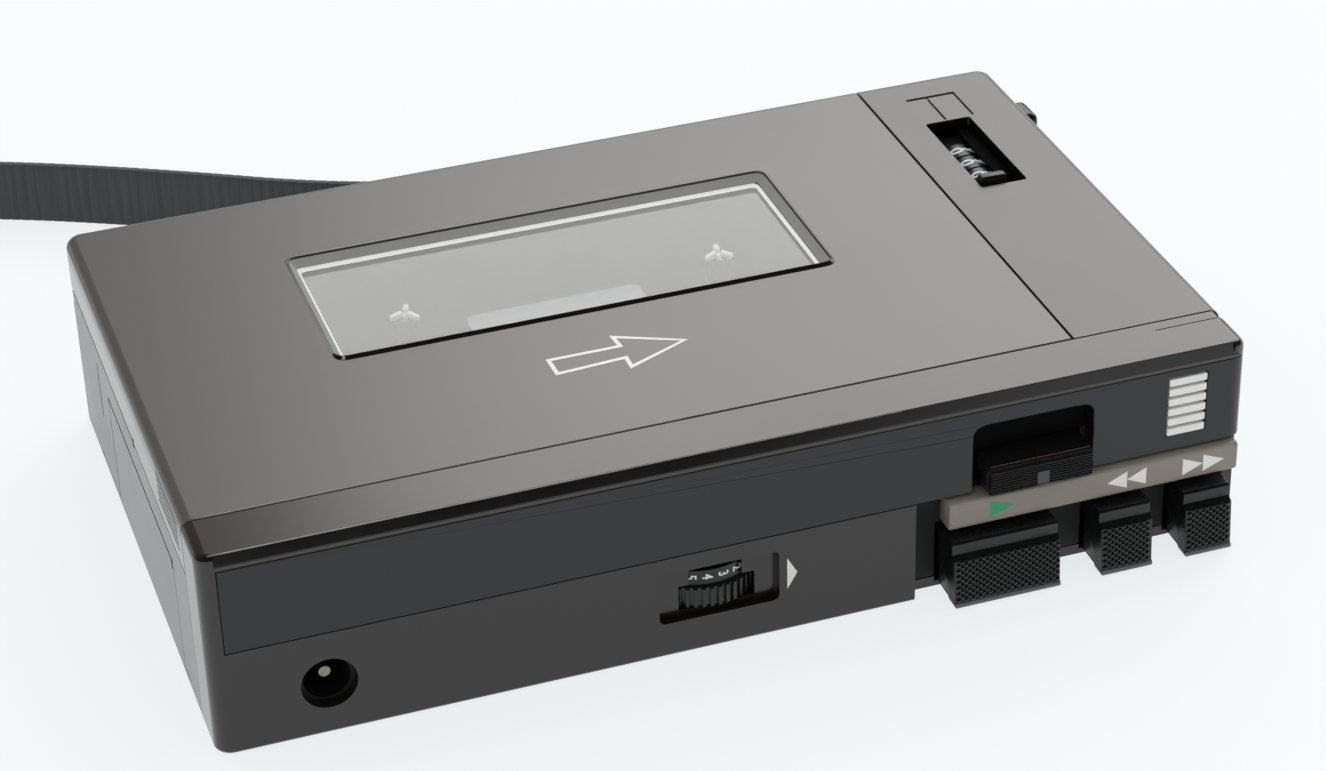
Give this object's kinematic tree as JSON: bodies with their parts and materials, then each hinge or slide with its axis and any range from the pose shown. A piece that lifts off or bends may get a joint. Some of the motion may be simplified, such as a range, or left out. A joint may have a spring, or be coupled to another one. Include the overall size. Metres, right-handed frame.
{
  "type": "cassette recorder",
  "caption": "Pocket cassette recorder lying on its back, with hinged cassette door, piano-style side keys, thumb volume wheel, tape counter and wrist strap.",
  "frame": {"origin": "centre of the flat underside that the recorder lies on", "axes": "+X along the long side towards the tape counter, -Y towards the side with the keys and the volume wheel, +Z out of the cassette door"},
  "size_m": [0.2451, 0.1678, 0.0289],
  "materials": {
    "door_plastic": "satin warm grey moulding",
    "frame_plastic": "glossy dark brown-grey moulding",
    "cover_plastic": "fine grained dark moulding",
    "plate_plastic": "satin black inset plate",
    "key_plastic": "satin black, knurled on the keys",
    "bar_plastic": "satin taupe with painted symbols",
    "clear_plastic": "clear moulded plastic",
    "white_plastic": "moulded white",
    "dial_plastic": "black with white figures",
    "inner_plastic": "plain dark moulding",
    "sheet_steel": "zinc plated sheet",
    "bright_steel": "polished",
    "head_metal": "polished head shell",
    "bronze": "sintered bronze",
    "drive_rubber": "matt black",
    "board_laminate": "brown laminate with solder side up",
    "webbing": "ribbed woven webbing",
    "cell_jacket": "plain printed jacket",
    "label_paper": "plain white sticker"
  },
  "bodies": {
    "case": {"rear_cover": "cover_plastic", "front_frame": "frame_plastic", "side_plate": "plate_plastic", "top_panel": "door_plastic", "key_bezel": "inner_plastic", "cue_bar": "bar_plastic", "microphone_grille": "white_plastic", "chassis_plate": "sheet_steel", "chassis_label": "label_paper", "chassis_screws": "bright_steel", "case_screws": "bright_steel", "reel_plate": "sheet_steel", "reel_shafts": "bright_steel", "capstan_bracket": "sheet_steel", "capstan_bearing": "bronze", "motor": "sheet_steel", "drive_belt": "drive_rubber", "circuit_board": "board_laminate", "volume_pot": "inner_plastic", "speaker": "inner_plastic", "dc_jack": "inner_plastic", "dc_jack_pin": "bright_steel", "earphone_jack": "inner_plastic", "microphone_jack": "inner_plastic", "microphone_capsule": "sheet_steel", "counter_frame": "inner_plastic", "counter_shaft": "bright_steel", "battery_contacts": "bright_steel", "batteries": "cell_jacket", "strap": "webbing", "strap_keeper": "inner_plastic", "strap_anchor": "webbing", "door_hinge_pin": "bright_steel", "door_spring": "bright_steel"},
    "door": {"cassette_door": "door_plastic", "door_window": "clear_plastic", "cassette_guides": "inner_plastic", "cassette_springs": "bright_steel"},
    "battery_lid": {"battery_lid": "cover_plastic"},
    "play": {"play_key": "key_plastic"},
    "rewind": {"rewind_key": "key_plastic"},
    "forward": {"forward_key": "key_plastic"},
    "stop": {"stop_button": "key_plastic"},
    "heads": {"head_plate": "sheet_steel", "record_play_head": "head_metal", "erase_head": "inner_plastic"},
    "roller_arm": {"pinch_roller_arm": "sheet_steel"},
    "roller": {"pinch_roller": "drive_rubber"},
    "flywheel": {"capstan": "bright_steel", "flywheel": "sheet_steel"},
    "motor_pulley": {"motor_pulley": "bronze"},
    "idler": {"idler_wheel": "drive_rubber"},
    "supply": {"supply_spindle": "white_plastic"},
    "takeup": {"takeup_spindle": "white_plastic"},
    "units": {"counter_drum_units": "dial_plastic"},
    "tens": {"counter_drum_tens": "dial_plastic"},
    "hundreds": {"counter_drum_hundreds": "dial_plastic"},
    "reset": {"counter_reset_button": "key_plastic"},
    "record": {"record_button": "key_plastic"},
    "volume": {"volume_wheel": "dial_plastic"}
  },
  "joints": [
    {"name": "door_hinge", "type": "hinge", "parent": "case", "child": "door", "pos_m": [0, 0.0395, 0.0196], "axis": [-1, 0, 0], "range_deg": [0, 70]},
    {"name": "battery_lid_slide", "type": "slide", "parent": "case", "child": "battery_lid", "axis": [-1, 0, 0], "range_m": [0, 0.032]},
    {"name": "play_press", "type": "slide", "parent": "case", "child": "play", "axis": [0, 1, 0], "range_m": [0, 0.003], "stiffness_N_per_m": 150, "springref_m": -0.002},
    {"name": "rewind_press", "type": "slide", "parent": "case", "child": "rewind", "axis": [0, 1, 0], "range_m": [0, 0.003], "stiffness_N_per_m": 150, "springref_m": -0.002},
    {"name": "forward_press", "type": "slide", "parent": "case", "child": "forward", "axis": [0, 1, 0], "range_m": [0, 0.003], "stiffness_N_per_m": 150, "springref_m": -0.002},
    {"name": "stop_press", "type": "slide", "parent": "case", "child": "stop", "axis": [0, 1, 0], "range_m": [0, 0.0035], "stiffness_N_per_m": 150, "springref_m": -0.002},
    {"name": "head_slide", "type": "slide", "parent": "case", "child": "heads", "axis": [0, 1, 0], "range_m": [0, 0.003]},
    {"name": "roller_swing", "type": "hinge", "parent": "case", "child": "roller_arm", "pos_m": [0.03, -0.0265, 0.0165], "axis": [0, 0, -1], "range_deg": [0, 15]},
    {"name": "roller_spin", "type": "hinge", "parent": "roller_arm", "child": "roller", "pos_m": [0.019, -0.027, 0.0208], "axis": [0, 0, 1], "continuous": true},
    {"name": "flywheel_spin", "type": "hinge", "parent": "case", "child": "flywheel", "pos_m": [0.0183, -0.0176, 0], "axis": [0, 0, 1], "continuous": true},
    {"name": "motor_spin", "type": "hinge", "parent": "case", "child": "motor_pulley", "pos_m": [0.031, 0.026, 0.0036], "axis": [0, 0, 1], "continuous": true},
    {"name": "idler_spin", "type": "hinge", "parent": "case", "child": "idler", "pos_m": [0.01654, -0.005, 0.0122], "axis": [0, 0, 1], "continuous": true},
    {"name": "supply_spin", "type": "hinge", "parent": "case", "child": "supply", "pos_m": [-0.028, 0.0096, 0.0122], "axis": [0, 0, 1], "continuous": true},
    {"name": "takeup_spin", "type": "hinge", "parent": "case", "child": "takeup", "pos_m": [0.0145, 0.0096, 0.0122], "axis": [0, 0, 1], "continuous": true},
    {"name": "units_spin", "type": "hinge", "parent": "case", "child": "units", "pos_m": [0.0544, 0.0148, 0.0226], "axis": [0, 1, 0], "continuous": true},
    {"name": "tens_spin", "type": "hinge", "parent": "case", "child": "tens", "pos_m": [0.0544, 0.0184, 0.0226], "axis": [0, 1, 0], "continuous": true},
    {"name": "hundreds_spin", "type": "hinge", "parent": "case", "child": "hundreds", "pos_m": [0.0544, 0.022, 0.0226], "axis": [0, 1, 0], "continuous": true},
    {"name": "reset_press", "type": "slide", "parent": "case", "child": "reset", "axis": [0, 0, -1], "range_m": [0, 0.001], "stiffness_N_per_m": 150, "springref_m": -0.002},
    {"name": "record_press", "type": "slide", "parent": "case", "child": "record", "axis": [-1, 0, 0], "range_m": [0, 0.002], "stiffness_N_per_m": 150, "springref_m": -0.002},
    {"name": "volume_turn", "type": "hinge", "parent": "case", "child": "volume", "pos_m": [-0.0039, -0.0324, 0.008], "axis": [0, 0, 1], "range_deg": [-55, 110]}
  ],
  "couplings": [
    {"joint": "head_slide", "follows": "play_press", "ratio": 1},
    {"joint": "roller_swing", "follows": "play_press", "rad_per_m": 87},
    {"joint": "motor_spin", "follows": "flywheel_spin", "ratio": 4.6},
    {"joint": "idler_spin", "follows": "flywheel_spin", "ratio": -0.46243},
    {"joint": "takeup_spin", "follows": "flywheel_spin", "ratio": 0.66667},
    {"joint": "units_spin", "follows": "flywheel_spin", "ratio": 0.13333},
    {"joint": "tens_spin", "follows": "flywheel_spin", "ratio": 0.013333},
    {"joint": "hundreds_spin", "follows": "flywheel_spin", "ratio": 0.0013333}
  ]
}
